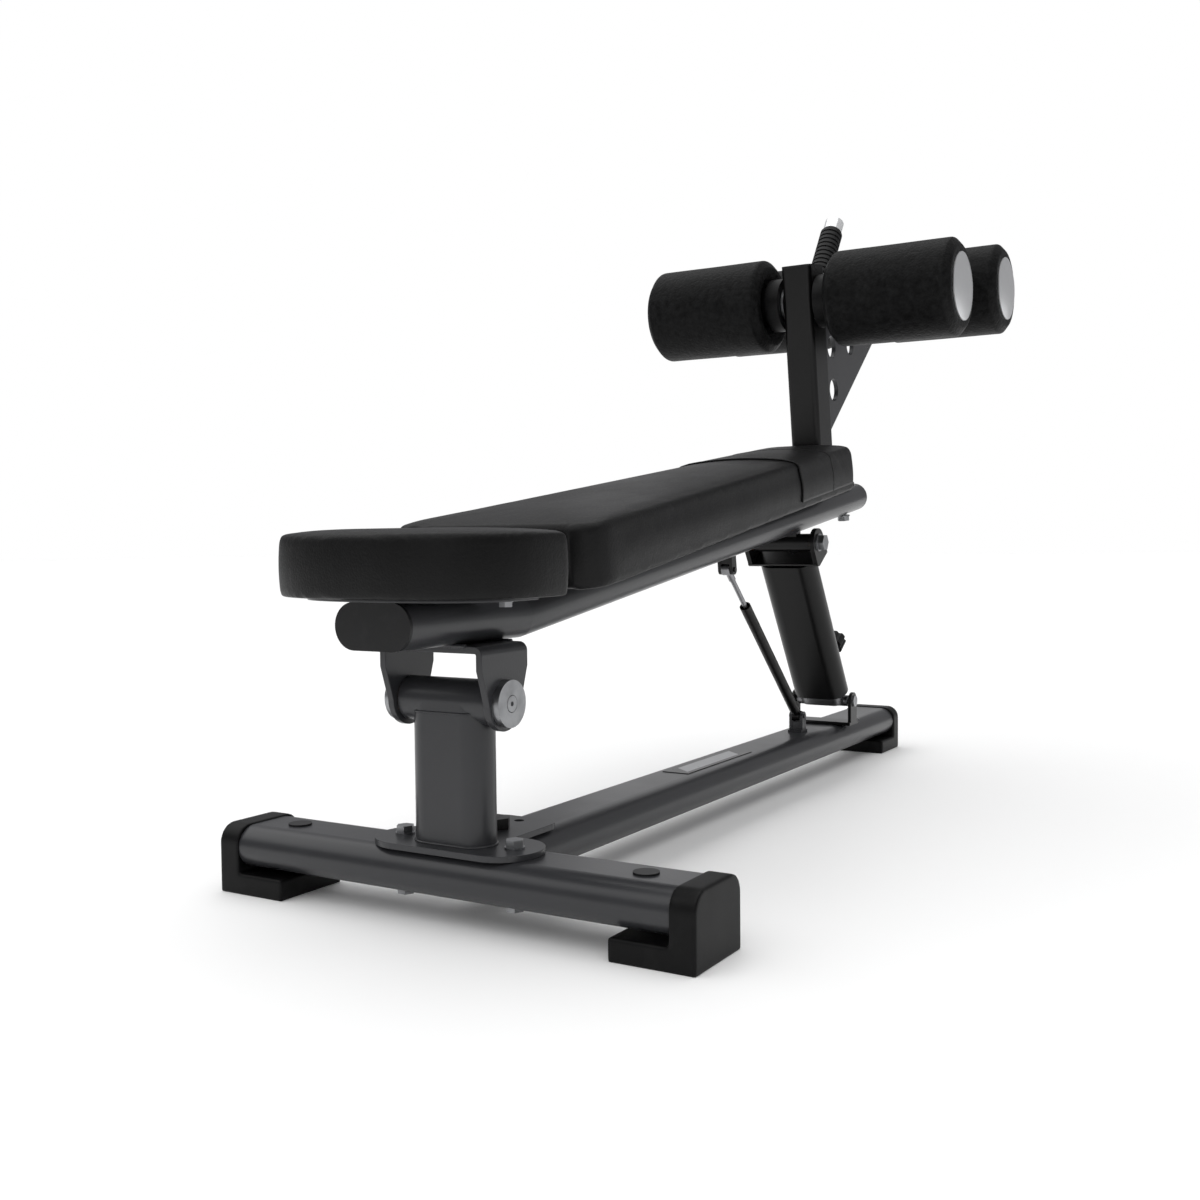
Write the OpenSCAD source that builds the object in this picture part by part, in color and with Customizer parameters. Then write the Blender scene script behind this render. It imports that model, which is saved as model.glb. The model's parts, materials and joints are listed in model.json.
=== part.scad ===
// Adjustable abdominal bench with four foot rollers.
// X runs across the bench, Y from the head pad to the rollers, Z up.
// The origin is on the floor, under the middle of the overall box.

/* [Base] */
// Overall width of the front cross tube, over its rubber feet
base_w = 642; // [560:1:760]
// Distance from the cross tube's centre to the rear foot's back face
base_l = 1385; // [1300:1:1600]
// Height of the underside of the base tubes above the floor
base_clear = 30; // [26:1:45]
// Width of the flat-oval steel tube
tube_w = 100; // [90:1:112]
// Height of the flat-oval steel tube
tube_h = 50; // [44:1:56]
// Wall thickness of the steel tubes
wall = 3; // [2:0.5:4]
// Length of each foot's sole under its tube
foot_l = 99; // [80:1:130]

/* [Front pivot] */
// Height of the bench's front pivot above the floor
pivot_z = 245; // [225:1:275]
// Outside radius of the pivot barrel
barrel_r = 25; // [22:1:28]
// Radius of the pivot shaft
shaft_r = 10; // [8:1:12]
// Radius of the silver end discs
disc_r = 26; // [20:1:28]

/* [Bench] */
// Angle of the inclined part of the rail
incline = 8.25; // [5:0.25:9]
// Length of the inclined part of the rail
rail_l = 1132; // [1090:1:1300]
// Height of the level part of the rail, centre above the pivot
rail_rise = 89.3; // [86:0.1:110]
// Width of the main pad at its head end
pad_w_head = 284; // [240:1:320]
// Width of the main pad at its foot end
pad_w_foot = 168; // [150:1:230]
// Length of the main pad
pad_l = 962; // [900:1:964]
// Thickness of the main pad with its board
pad_t = 76; // [60:1:90]
// Width of the head pad
head_w = 310; // [260:1:340]
// Thickness of the head pad with its board
head_t = 69; // [55:1:80]

/* [Rear leg] */
// Distance of the upper leg pivot along the rail from its bend
leg_s = 847; // [820:1:860]
// Gap between the two leg tubes, front and back
slide_gap_t = 4.5; // [4.5:0.5:7]
// Gap between the two leg tubes, left and right
slide_gap_w = 5; // [3:0.5:9]
// Number of height holes in the inner leg tube
leg_holes = 5; // [3:1:5]

/* [Rollers] */
// Radius of the foam rollers
roller_r = 81; // [65:1:85]
// Length of each foam roller
roller_l = 220; // [180:1:250]
// Height of the roller axles above the rail's centre
roller_n = 359; // [330:1:400]
// Distance of the column along the rail from its bend
column_s = 1003; // [1001:1:1030]
// Distance between the two roller axles
roller_gap = 292; // [280:1:330]
// Radius of the roller axles
axle_r = 12.5; // [10:0.5:14]

/* [Hidden] */
$fn = 64;

steel = "dimgray";
zinc = "silver";
soft = "black";

run = 0.05;          // radial running clearance of every pin and axle in its bore
tube_z = base_clear + tube_h / 2;
base_top = base_clear + tube_h;
plate_t = 7;
plate_top = base_top + plate_t;
plate_half = 107;
plate_w = 92;
bolt_x = 76;
post_y = -4;         // the post and the front pivot sit a little towards the head end

barrel_half = 60;
bush_flange = 1.4;
ear_in = barrel_half + bush_flange + 0.1;
ear_t = 8;
ear_out = ear_in + ear_t;
disc_t = 8.5;

bend_y = 79;
head_end = -135;
rail_z = pivot_z + rail_rise;
rail_top = tube_h / 2;

head_plate_t = 3;
head_back = -16;
head_apex = -168;
head_bolt_x = 102;
head_bolt_y = -48;

pad_gap = 6;         // height of the pad's mounting straps over the rail
board_t = 12;
board_in = 6;        // how far the board sits inside the pad's sides
pad_n = rail_top + pad_gap;
cover_t = 1.5;
cover_gap = 0.05;
cover_l = 285;

column_w = 54;
column_d = 70;
column_top = roller_n + 60;
far_s = column_s + roller_gap;
gusset_t = 8;
washer_x = column_w / 2 + 4;
hub_in = washer_x + 1;
roller_in = 58;
roller_out = roller_in + roller_l;
core_r = 34;
hub_r = 46;
cap_r = 56;

handle_lean = 42.7;
handle_r = 15;
grip_r = 20;
handle_s = 1052;
handle_n = 373;
handle_l = 178;
handle_end = 24;

leg_n = -43.5;
leg_pin_r = 8;
leg_barrel_r = 15;
leg_barrel_half = 52;
leg_ear_in = 56;
leg_ear_t = 8;
web_t = 8;
web_z = 36;
low_y = 1110;
low_z = 123;
leg_top_y = bend_y + leg_s * cos(incline) - leg_n * sin(incline);
leg_top_z = rail_z + leg_s * sin(incline) + leg_n * cos(incline);
leg_lean = atan2(low_y - leg_top_y, leg_top_z - low_z);
leg_len = norm([low_y - leg_top_y, leg_top_z - low_z]);
inner_t = tube_h - 2 * wall - 2 * slide_gap_t;
inner_w = tube_w - 2 * wall - 2 * slide_gap_w;
sleeve_end = leg_len - 21;
inner_tip = 44;
foot_pin_r = 6;
foot_barrel_r = 10;
foot_half = 48;
foot_ear_in = 52;
pin_a = 290;
pin_r = 6;
pin_rest = 4.1;      // how far the plunger's nose stays clear of the inner tube, which sways 3.6
pin_travel = 0.012;

strut_s = 620;
strut_n = -51.5;
strut_foot_y = 984;
strut_foot_z = 108;
strut_top_y = bend_y + strut_s * cos(incline) - strut_n * sin(incline);
strut_top_z = rail_z + strut_s * sin(incline) + strut_n * cos(incline);
strut_lean = atan2(strut_foot_y - strut_top_y, strut_top_z - strut_foot_z);
strut_len = norm([strut_foot_y - strut_top_y, strut_top_z - strut_foot_z]);
strut_r = 9;
rod_r = 4;
cyl_end = 299;
rod_reach = 215;
eye_r = 9;
eye_half = 7;
eye_gap = 0.5;       // between a strut eye and each ear of its fork
fork_ear = 5;
strut_pin_r = 4;

front_y = head_apex;
back_y = max(base_l, bend_y + far_s * cos(incline) - roller_n * sin(incline) + roller_r);
mid_y = (front_y + back_y) / 2;

// ---- frames of reference -------------------------------------------------

// Puts a piece built about the cross tube's centre into the part's own frame
module placed() {
  translate([0, -mid_y, 0]) children();
}

// Y runs up the inclined rail from its bend, Z stands square to the rail
module on_rail() {
  placed() translate([0, bend_y, rail_z]) rotate([incline, 0, 0]) children();
}

// Z points from the lower leg pivot to the upper one, origin on the upper pivot
module on_leg() {
  on_rail() translate([0, leg_s, leg_n]) rotate([leg_lean - incline, 0, 0]) children();
}

// Z points up the strut, origin on its lower pin
module on_strut() {
  placed() translate([0, strut_foot_y, strut_foot_z]) rotate([strut_lean, 0, 0]) children();
}

// ---- shared shapes -------------------------------------------------------

module oval(w, h) {
  square([w - h, h], center = true);
  for (s = [-1, 1]) translate([s * (w - h) / 2, 0]) circle(d = h);
}

module round_rect(w, h, r) {
  square([w - 2 * r, h], center = true);
  square([w, h - 2 * r], center = true);
  for (i = [-1, 1], j = [-1, 1]) translate([i * (w / 2 - r), j * (h / 2 - r)]) circle(r);
}

// A bar of a flat profile (across X, up Z) running along +Y
module along_y(l) {
  translate([0, l, 0]) rotate([90, 0, 0]) linear_extrude(l) children();
}

// A bar of a flat profile (its X along Y, its Y up Z) centred on X
module along_x(l) {
  rotate([90, 0, 90]) translate([0, 0, -l / 2]) linear_extrude(l) children();
}

module rod_x(r, l) {
  rotate([0, 90, 0]) cylinder(r = r, h = l, center = true);
}

// A ring about X from x0 to x1
module ring_x(r_out, r_in, x0, x1) {
  rotate([0, 90, 0]) translate([0, 0, x0]) difference() {
    cylinder(r = r_out, h = x1 - x0);
    translate([0, 0, -1]) cylinder(r = r_in, h = x1 - x0 + 2);
  }
}

// A hexagon head, af across its flats, standing on z = 0
module hex_head(af, h) {
  linear_extrude(h) circle(d = af / cos(30), $fn = 6);
}

// A hexagon head bolt pointing down, its washer's underside on z = 0
module hex_bolt(r, l, af) {
  cylinder(r = af * 0.62, h = 2);
  translate([0, 0, 2]) hex_head(af, r * 1.3);
  translate([0, 0, -l]) cylinder(r = r, h = l + 1);
}

// A nut and washer hanging under z = 0 on a bolt of radius r
module nut_below(r, af) {
  difference() {
    union() {
      translate([0, 0, -2]) cylinder(r = af * 0.62, h = 2);
      translate([0, 0, -2 - r * 1.6]) hex_head(af, r * 1.6);
    }
    translate([0, 0, -30]) cylinder(r = r + run, h = 40);
  }
}

// ---- base ----------------------------------------------------------------

module base_tube_section() {
  difference() {
    oval(tube_w, tube_h);
    oval(tube_w - 2 * wall, tube_h - 2 * wall);
  }
}

cap_wall = 8;
cap_over = 2;        // how far a foot stands proud of its tube
plug_r = 14;
plug_x = 239;

module crossbar() {
  color(steel) placed() difference() {
    translate([0, 0, tube_z]) along_x(base_w - 2 * cap_wall) base_tube_section();
    for (s = [-1, 1]) {
      translate([s * bolt_x, 0, base_clear - 1]) cylinder(r = 6.1, h = tube_h + 2);
      translate([s * plug_x, 0, tube_z]) cylinder(r = 11, h = tube_h);
    }
  }
}

module spine() {
  l = base_l - cap_wall;
  color(steel) placed() difference() {
    translate([0, tube_h / 2, tube_z]) along_y(l - tube_h / 2) base_tube_section();
    translate([0, 0, tube_z]) along_x(2 * tube_w) oval(tube_w, tube_h);
    translate([0, 72, tube_z]) cylinder(r = 10.1, h = tube_h);
    translate([0, 119, tube_z]) cylinder(r = 6, h = tube_h);
  }
}

// A moulded rubber foot for a tube end that faces +Y, its outer face on y = 0
module foot() {
  h = base_top + cap_over;
  w = tube_w + 2 * cap_over;
  top_r = 22;
  block = 30;
  difference() {
    union() {
      translate([0, -block, 0]) along_y(block) union() {
        translate([-w / 2, 0]) square([w, h - top_r]);
        translate([-w / 2 + top_r, h - 2 * top_r]) square([w - 2 * top_r, 2 * top_r]);
        for (s = [-1, 1]) translate([s * (w / 2 - top_r), h - top_r]) circle(top_r);
      }
      translate([-w / 2, -foot_l, 0]) cube([w, foot_l, base_clear - 5]);
    }
    translate([0, -foot_l - 1, tube_z]) along_y(foot_l + 1 - cap_wall) oval(tube_w, tube_h);
  }
  translate([0, -block, tube_z]) along_y(block - cap_wall + 1) difference() {
    oval(tube_w - 2 * wall, tube_h - 2 * wall);
    oval(tube_w - 2 * wall - 8, tube_h - 2 * wall - 8);
  }
}

module front_feet() {
  color(soft) placed() for (s = [-1, 1]) {
    translate([s * base_w / 2, 0, 0]) rotate([0, 0, -90 * s]) foot();
  }
}

module rear_foot() {
  color(soft) placed() translate([0, base_l, 0]) foot();
}

module tube_plugs() {
  color(soft) placed() for (s = [-1, 1]) translate([s * plug_x, 0, base_top]) {
    cylinder(r = plug_r, h = 2);
    translate([0, 0, -8]) cylinder(r = 11, h = 9);
  }
}

module base_plate() {
  tongue_end = 140;
  color(steel) placed() translate([0, 0, base_top]) difference() {
    linear_extrude(plate_t) union() {
      oval(2 * plate_half, plate_w);
      translate([0, (tongue_end - 20) / 2]) square([plate_w, tongue_end - 20], center = true);
      translate([0, tongue_end - 20]) square([plate_w - 40, 40], center = true);
      for (s = [-1, 1]) translate([s * (plate_w / 2 - 20), tongue_end - 20]) circle(20);
    }
    for (s = [-1, 1]) translate([s * bolt_x, 0, -1]) cylinder(r = 6.1, h = plate_t + 2);
    translate([0, 72, -1]) cylinder(r = 10.1, h = plate_t + 2);
    translate([0, 119, -1]) cylinder(r = 6, h = plate_t + 2);
  }
}

// The base plate's bolts, with their washers and nuts as separate solids
module plate_bolts() {
  color(zinc) placed() for (s = [-1, 1]) translate([s * bolt_x, 0, 0]) {
    translate([0, 0, plate_top]) hex_bolt(6, plate_t + tube_h + 12, 18);
    translate([0, 0, base_clear]) nut_below(6, 18);
  }
}

module tongue_bolt() {
  color(soft) placed() translate([0, 72, plate_top]) {
    hex_head(30, 13);
    translate([0, 0, -plate_t - wall - 14]) cylinder(r = 10, h = plate_t + wall + 15);
  }
}

module front_post() {
  color(steel) placed() difference() {
    translate([0, post_y, plate_top]) linear_extrude(pivot_z - plate_top) base_tube_section();
    translate([0, post_y, pivot_z]) rod_x(barrel_r, 3 * tube_w);
  }
}

module pivot_barrel() {
  color(steel) placed() translate([0, post_y, pivot_z]) {
    ring_x(barrel_r, barrel_r - 6, -barrel_half, barrel_half);
  }
}

module pivot_bushes() {
  color("saddlebrown") placed() translate([0, post_y, pivot_z]) {
    for (s = [-1, 1]) mirror([s < 0 ? 1 : 0, 0, 0]) difference() {
      union() {
        rotate([0, 90, 0]) translate([0, 0, barrel_half - 30]) cylinder(r = barrel_r - 6, h = 30);
        rotate([0, 90, 0]) translate([0, 0, barrel_half]) cylinder(r = barrel_r - 2, h = bush_flange);
      }
      rod_x(shaft_r + run, 4 * barrel_half);
    }
  }
}

module lower_bracket() {
  t = 6;
  half = foot_ear_in + t;
  color(steel) placed() translate([0, low_y, 0]) difference() {
    union() {
      translate([-half, -22, base_top]) cube([2 * half, 44, t]);
      for (s = [-1, 1]) translate([s * (foot_ear_in + t / 2), 0, 0]) {
        translate([-t / 2, -16, base_top]) cube([t, 32, low_z - base_top]);
        translate([0, 0, low_z]) rod_x(16, t);
      }
    }
    translate([0, 0, low_z]) rod_x(foot_pin_r, 4 * half);
  }
}

module lower_pin() {
  half = foot_ear_in + 6;
  color(zinc) placed() translate([0, low_y, low_z]) {
    rod_x(foot_pin_r, 2 * half + 2);
    for (s = [-1, 1]) translate([s * (half + 1.5), 0, 0]) rod_x(10, 3);
  }
}

module strut_foot() {
  half = eye_half + eye_gap;
  ear = fork_ear;
  color(steel) placed() translate([0, strut_foot_y, 0]) union() {
    translate([-half - ear, -14, base_top]) cube([2 * half + 2 * ear, 28, 4]);
    for (s = [-1, 1]) translate([s * (half + ear / 2), 0, 0]) {
      translate([-ear / 2, -8, base_top]) cube([ear, 16, strut_foot_z - base_top]);
      translate([0, 0, strut_foot_z]) rod_x(8, ear);
    }
    translate([-half - 1, -7, base_top]) cube([2 * half + 2, 14, strut_foot_z - eye_r - 1 - base_top]);
    translate([0, 0, strut_foot_z]) rod_x(strut_pin_r, 2 * half + 2 * ear + 4);
  }
}

module name_plate() {
  color(soft) placed() translate([-21, 520, base_top]) cube([42, 222, 1]);
}

// ---- bench rail and pads -------------------------------------------------

// A straight run of rail tube, cut on the halving plane of the welded bend at y = 0
module rail_run(y0, y1, side) {
  difference() {
    translate([0, y0, 0]) along_y(y1 - y0) base_tube_section();
    rotate([-side * incline / 2, 0, 0]) translate([-tube_w, side > 0 ? -600 : 0, -tube_w]) {
      cube([2 * tube_w, 600, 2 * tube_w]);
    }
  }
}

module rail_level() {
  color(steel) placed() translate([0, bend_y, rail_z]) {
    rail_run(head_end - bend_y, tube_h, -1);
  }
}

module rail() {
  color(steel) on_rail() difference() {
    rail_run(-tube_h, rail_l, 1);
    for (p = rail_bolt_places) {
      translate([p.x, p.y, -tube_h]) cylinder(r = p.z + 0.1, h = 2 * tube_h);
    }
  }
}

// x, distance along the rail, and radius of each bolt through the rail
pad_bolt_r = 4;
column_bolt_r = 6;
column_bolt_s = column_s + 57;
rail_bolt_places = [
  [0, 160, pad_bolt_r], [0, 480, pad_bolt_r], [0, 760, pad_bolt_r],
  [30, column_bolt_s, column_bolt_r], [-30, column_bolt_s, column_bolt_r]
];

module rail_caps() {
  t = 4;
  color(soft) {
    placed() translate([0, head_end - t, rail_z]) along_y(t) oval(tube_w, tube_h);
    on_rail() translate([0, rail_l, 0]) along_y(t) oval(tube_w, tube_h);
    on_rail() translate([0, column_s, column_top]) linear_extrude(t) {
      round_rect(column_w, column_d, 9);
    }
  }
}

module front_clevis() {
  top = rail_z - tube_h / 2;
  y0 = post_y - 43;
  y1 = post_y + 43;
  end_r = 30.5;
  color(steel) placed() difference() {
    union() {
      translate([-ear_out + 10, y0, top - ear_t]) cube([2 * ear_out - 20, y1 - y0, ear_t]);
      for (s = [-1, 1]) {
        translate([s * (ear_out - 10), 0, top - 10]) intersection() {
          translate([0, (y0 + y1) / 2, 0]) rotate([90, 0, 0]) difference() {
            cylinder(r = 10, h = y1 - y0, center = true);
            cylinder(r = 10 - ear_t, h = y1 - y0 + 2, center = true);
          }
          translate([s > 0 ? 0 : -20, y0 - 1, 0]) cube([20, y1 - y0 + 2, 20]);
        }
        translate([s * (ear_in + ear_t / 2), 0, 0]) along_x(ear_t) union() {
          polygon([
            [y0, top - 10], [y1, top - 10], [y1, top - 26],
            [post_y + end_r, pivot_z], [post_y - end_r, pivot_z], [y0, top - 26]
          ]);
          translate([post_y, pivot_z]) circle(end_r);
        }
      }
    }
    translate([0, post_y, pivot_z]) rod_x(shaft_r, 4 * ear_out);
  }
}

module pivot_shaft() {
  color(zinc) placed() translate([0, post_y, pivot_z]) difference() {
    rod_x(shaft_r, 2 * ear_out);
    for (s = [-1, 1]) translate([s * ear_out, 0, 0]) rod_x(4, 44);
  }
}

// End discs, each with its countersunk socket screw as a second solid
module pivot_discs() {
  color(zinc) placed() translate([0, post_y, pivot_z]) {
    for (s = [-1, 1]) mirror([s < 0 ? 1 : 0, 0, 0]) {
      rotate([0, 90, 0]) translate([0, 0, ear_out]) difference() {
        cylinder(r = disc_r, h = disc_t);
        translate([0, 0, -1]) cylinder(r = 4, h = disc_t);
        translate([0, 0, disc_t - 5]) cylinder(r1 = 4, r2 = 9.8, h = 5.01);
      }
      rotate([0, 90, 0]) translate([0, 0, ear_out]) difference() {
        union() {
          translate([0, 0, disc_t - 5]) cylinder(r1 = 4, r2 = 8.9, h = 4.9);
          translate([0, 0, -18]) cylinder(r = 4, h = disc_t + 14);
        }
        translate([0, 0, disc_t - 3]) cylinder(r = 2.9, h = 4, $fn = 6);
      }
    }
  }
}

// Half of a D, straight at y = 0 and bowed towards -Y, w wide and d deep
module head_outline(w, d) {
  n = 48;
  e = 2 / 2.6;
  side = 30;
  polygon(concat(
    [[w / 2, 0]],
    [for (i = [0:n]) let (a = 180 * i / n) [
      w / 2 * sign(cos(a)) * pow(abs(cos(a)), e),
      -side - (d - side) * pow(sin(a), e)
    ]],
    [[-w / 2, 0]]
  ));
}

module head_plate() {
  z = rail_z + tube_h / 2;
  color(steel) placed() translate([0, head_back - 12, z]) difference() {
    linear_extrude(head_plate_t) head_outline(head_w - 50, head_back - head_apex - 36);
    for (s = [-1, 1]) translate([s * head_bolt_x, head_bolt_y - head_back + 12, -1]) {
      cylinder(r = 4.1, h = head_plate_t + 2);
    }
  }
}

module head_pad() {
  z = rail_z + tube_h / 2 + head_plate_t;
  color(soft) placed() translate([0, head_back, z]) difference() {
    linear_extrude(head_t) head_outline(head_w, head_back - head_apex);
    for (s = [-1, 1]) translate([s * head_bolt_x, head_bolt_y - head_back, -1]) {
      cylinder(r = 4.1, h = 14);
    }
  }
}

module head_bolts() {
  z = rail_z + tube_h / 2;
  color(zinc) placed() for (s = [-1, 1]) translate([s * head_bolt_x, head_bolt_y, z]) {
    mirror([0, 0, 1]) hex_bolt(4, head_plate_t + 10, 13);
  }
}

// Half the main pad's width at a distance along the rail
function pad_half(y) = pad_w_head / 2 - (pad_w_head - pad_w_foot) / 2 / pad_l * y;

// Points of an arc about [x, y] from angle a0 to a1
function arc_points(x, y, r, a0, a1) = [
  for (i = [0:10]) let (a = a0 + (a1 - a0) * i / 10) [x + r * cos(a), y + r * sin(a)]
];

// The pad's tapered outline, grown all round, its corner arcs tangent to its sides
module pad_outline(grow) {
  taper = atan((pad_w_head - pad_w_foot) / 2 / pad_l);
  r = 30 + grow;
  q = 8 + grow;
  ya = r - grow;
  yb = pad_l + grow - q;
  side = grow / cos(taper);
  xa = pad_half(ya) + side - r / cos(taper);
  xb = pad_half(yb) + side - q / cos(taper);
  polygon(concat(
    arc_points(xa, ya, r, -90, taper),
    arc_points(xb, yb, q, taper, 90),
    arc_points(-xb, yb, q, 90, 180 - taper),
    arc_points(-xa, ya, r, 180 - taper, 270)
  ));
}

module pad_board() {
  color("saddlebrown") on_rail() {
    translate([0, 0, pad_n]) difference() {
      linear_extrude(board_t) pad_outline(-board_in);
      for (p = rail_bolt_places) if (p.x == 0) {
        translate([p.x, p.y, -1]) cylinder(r = p.z + 0.1, h = board_t + 2);
      }
    }
    for (p = rail_bolt_places) if (p.x == 0) translate([p.x, p.y, rail_top]) difference() {
      translate([-60, -20, 0]) cube([120, 40, pad_gap]);
      translate([0, 0, -1]) cylinder(r = p.z + 0.1, h = pad_gap + 2);
    }
  }
}

module main_pad() {
  color(soft) on_rail() translate([0, 0, pad_n]) difference() {
    linear_extrude(pad_t) pad_outline(0);
    translate([0, 0, -1]) linear_extrude(board_t + 1) pad_outline(-board_in);
    for (p = rail_bolt_places) if (p.x == 0) {
      translate([p.x, p.y, 0]) cylinder(r = p.z + 1, h = board_t + 8);
    }
  }
}

// The cover hugs the pad's top and two sides at the foot end
module wear_cover() {
  y0 = pad_l - cover_l;
  y1 = pad_l - 14;
  a = pad_half(y0) + cover_gap;
  b = pad_half(y1) + cover_gap;
  color(soft) on_rail() translate([0, 0, pad_n]) difference() {
    linear_extrude(pad_t + cover_t) polygon([
      [a + cover_t, y0], [b + cover_t, y1], [-b - cover_t, y1], [-a - cover_t, y0]
    ]);
    translate([0, 0, -1]) linear_extrude(pad_t + 1) polygon([
      [a, y0], [b, y1], [b, y1 + 1], [-b, y1 + 1], [-b, y1], [-a, y0], [-a, y0 - 1], [a, y0 - 1]
    ]);
  }
}

module pad_bolts() {
  color(zinc) on_rail() for (p = rail_bolt_places) if (p.x == 0) {
    translate([p.x, p.y, -tube_h / 2]) mirror([0, 0, 1]) {
      hex_bolt(p.z, tube_h + pad_gap + board_t + 4, 13);
    }
  }
}

// ---- column, axles, gusset and handle ------------------------------------

module column() {
  foot_t = 8;
  color(steel) on_rail() difference() {
    union() {
      translate([0, column_s, rail_top]) linear_extrude(column_top - rail_top) {
        difference() {
          round_rect(column_w, column_d, 9);
          round_rect(column_w - 2 * wall, column_d - 2 * wall, 6);
        }
      }
      translate([-44, column_s - 36, rail_top]) cube([88, 120, foot_t]);
    }
    for (p = rail_bolt_places) if (p.x != 0) {
      translate([p.x, p.y, 0]) cylinder(r = p.z + 0.1, h = 60);
    }
    translate([0, column_s, roller_n]) rod_x(axle_r, 2 * column_w);
  }
}

module column_bolts() {
  color(zinc) on_rail() for (p = rail_bolt_places) if (p.x != 0) {
    translate([p.x, p.y, -tube_h / 2]) mirror([0, 0, 1]) hex_bolt(p.z, tube_h + 24, 19);
    translate([p.x, p.y, rail_top + 8]) mirror([0, 0, 1]) nut_below(p.z, 19);
  }
}

module gusset() {
  back = column_s + column_d / 2;
  tip = far_s + 55;
  top = roller_n + 36;
  color(steel) on_rail() difference() {
    union() {
      along_x(gusset_t) difference() {
        union() {
          polygon([
            [back, 98], [tip, roller_n - 72], [tip, roller_n], [far_s + 20, top], [back, top]
          ]);
          translate([far_s, roller_n]) circle(55);
        }
        translate([far_s - 60, top]) square([130, 60]);
        translate([column_s + 113, 202]) circle(20.5);
        translate([column_s + 112, 280]) circle(20);
        translate([column_s + 210, 281]) circle(18);
      }
      translate([0, far_s, roller_n]) rod_x(22, column_w);
    }
    translate([0, far_s, roller_n]) rod_x(axle_r, 2 * column_w);
    translate([0, handle_s, handle_n]) rotate([-handle_lean, 0, 0]) {
      translate([0, 0, -1]) cylinder(r = handle_r, h = handle_l);
      translate([0, 0, 42]) cylinder(r = grip_r + 1, h = handle_l);
    }
  }
}

module roller_axles() {
  color(zinc) on_rail() for (s = [column_s, far_s]) {
    translate([0, s, roller_n]) rod_x(axle_r, 2 * (roller_out - 14));
  }
}

module axle_collars() {
  color(zinc) on_rail() for (s = [column_s, far_s]) translate([0, s, roller_n]) {
    ring_x(33, axle_r, column_w / 2, washer_x);
    ring_x(33, axle_r, -washer_x, -column_w / 2);
  }
}

module handle_bar() {
  color(zinc) on_rail() translate([0, handle_s, handle_n]) rotate([-handle_lean, 0, 0]) {
    cylinder(r = handle_r, h = handle_l + 1);
    translate([0, 0, handle_l - handle_end]) cylinder(r = grip_r - 3, h = handle_end + 1);
  }
}

module handle_grip() {
  l0 = 44;
  l1 = handle_l - handle_end;
  ribs = 11;
  pitch = (l1 - l0) / ribs;
  color(soft) on_rail() translate([0, handle_s, handle_n]) rotate([-handle_lean, 0, 0]) {
    difference() {
      union() {
        translate([0, 0, l0]) cylinder(r = grip_r - 2, h = l1 - l0);
        for (i = [0:ribs - 1]) translate([0, 0, l0 + i * pitch]) {
          cylinder(r = grip_r, h = pitch * 0.6);
        }
      }
      translate([0, 0, l0 - 1]) cylinder(r = handle_r, h = l1 - l0 + 2);
    }
  }
}

// ---- roller parts --------------------------------------------------------

// The foam sleeve of the roller on side s (-1 left, 1 right)
module foam(at, s) {
  color(soft) on_rail() translate([0, at, roller_n]) mirror([s < 0 ? 1 : 0, 0, 0]) {
    ring_x(roller_r, core_r, roller_in, roller_out);
  }
}

// The core turns on the axle and ends in a wide hub beside the column
module core(at, s) {
  color("dimgray") on_rail() translate([0, at, roller_n]) mirror([s < 0 ? 1 : 0, 0, 0]) {
    difference() {
      rotate([0, 90, 0]) union() {
        translate([0, 0, hub_in]) cylinder(r = hub_r, h = roller_in - 2 - hub_in);
        translate([0, 0, hub_in]) cylinder(r = core_r, h = roller_out - 10 - hub_in);
      }
      rod_x(axle_r + run, 4 * roller_out);
    }
  }
}

// A domed cap closes the roller's outer end
module end_cap(at, s) {
  dome = 9;
  ball = (cap_r * cap_r + dome * dome) / (2 * dome);
  color(zinc) on_rail() translate([0, at, roller_n]) mirror([s < 0 ? 1 : 0, 0, 0]) {
    rotate([0, 90, 0]) {
      translate([0, 0, roller_out + 0.2]) cylinder(r = cap_r, h = 1.8);
      intersection() {
        translate([0, 0, roller_out + 2 + dome - ball]) sphere(ball, $fn = 128);
        translate([0, 0, roller_out + 1]) cylinder(r = cap_r, h = dome + 2);
      }
      translate([0, 0, roller_out - 10]) cylinder(r = core_r - 6, h = 11);
    }
  }
}

module foam_near_left() { foam(column_s, -1); }
module foam_near_right() { foam(column_s, 1); }
module foam_far_left() { foam(far_s, -1); }
module foam_far_right() { foam(far_s, 1); }
module core_near_left() { core(column_s, -1); }
module core_near_right() { core(column_s, 1); }
module core_far_left() { core(far_s, -1); }
module core_far_right() { core(far_s, 1); }
module caps_near_left() { end_cap(column_s, -1); }
module caps_near_right() { end_cap(column_s, 1); }
module caps_far_left() { end_cap(far_s, -1); }
module caps_far_right() { end_cap(far_s, 1); }

// ---- rear leg ------------------------------------------------------------

// The lug under the rail carries the leg's upper barrel
module leg_lug() {
  color(steel) on_rail() translate([0, leg_s, 0]) difference() {
    union() {
      translate([0, 0, leg_n]) rod_x(leg_barrel_r, 2 * leg_barrel_half);
      translate([-28, -10, leg_n]) cube([56, 20, -leg_n - tube_h / 2]);
    }
    translate([0, 0, leg_n]) rod_x(leg_pin_r + run, 4 * leg_barrel_half);
  }
}

module leg_sleeve() {
  color(steel) on_leg() translate([0, 0, -sleeve_end]) difference() {
    linear_extrude(sleeve_end - web_z) difference() {
      oval(tube_w, tube_h);
      oval(tube_w - 2 * wall, tube_h - 2 * wall);
    }
    translate([0, 0, sleeve_end - pin_a]) rotate([-90, 0, 0]) cylinder(r = pin_r + run, h = tube_h);
  }
}

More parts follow.
